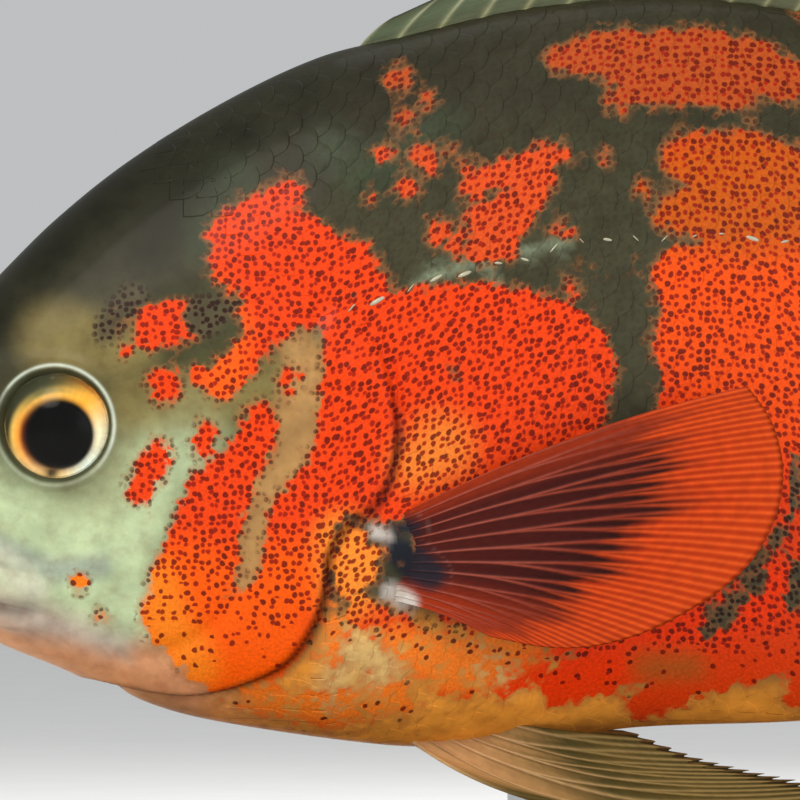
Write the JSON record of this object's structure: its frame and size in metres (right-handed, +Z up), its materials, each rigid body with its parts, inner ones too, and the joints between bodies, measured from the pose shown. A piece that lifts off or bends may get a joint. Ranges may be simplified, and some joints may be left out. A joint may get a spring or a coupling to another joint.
{
  "type": "oscar fish model on stand",
  "caption": "Life-size still model of a deep-bodied cichlid fish with spread fins, held level by a rod on a flat plinth.",
  "frame": {"origin": "centre of the underside of the stand's plinth", "axes": "+X runs along the fish from snout to tail, +Y to the fish's right side, +Z up"},
  "size_m": [0.2686, 0.092, 0.1673],
  "materials": {
    "skin_head": "wet-look resin skin, painted olive grey with pale green cheeks",
    "skin_jaw": "wet-look resin skin, painted pale grey green",
    "skin_cover": "wet-look resin skin, painted orange with dark red dots",
    "skin_flank": "scaled wet-look resin skin, painted orange on olive",
    "fin_pale": "thin cast resin fin, tinted olive and cream",
    "fin_wine": "thin cast resin fin, tinted wine red to orange",
    "eye": "polished domed eye with a gold iris",
    "stand_wood": "dark stained hardwood, satin",
    "stand_steel": "brushed"
  },
  "bodies": {
    "root": {"head": "skin_head", "lower_jaw": "skin_jaw", "gill_cover_left": "skin_cover", "gill_cover_right": "skin_cover", "torso": "skin_flank", "tail_stalk": "skin_flank", "dorsal_fin": "fin_pale", "anal_fin": "fin_pale", "tail_fin": "fin_pale", "pectoral_fin_left": "fin_wine", "pectoral_fin_right": "fin_wine", "pelvic_fin_left": "fin_pale", "pelvic_fin_right": "fin_pale", "eye_left": "eye", "eye_right": "eye", "stand_base": "stand_wood", "stand_rod": "stand_steel", "stand_collar": "stand_steel"}
  },
  "joints": []
}
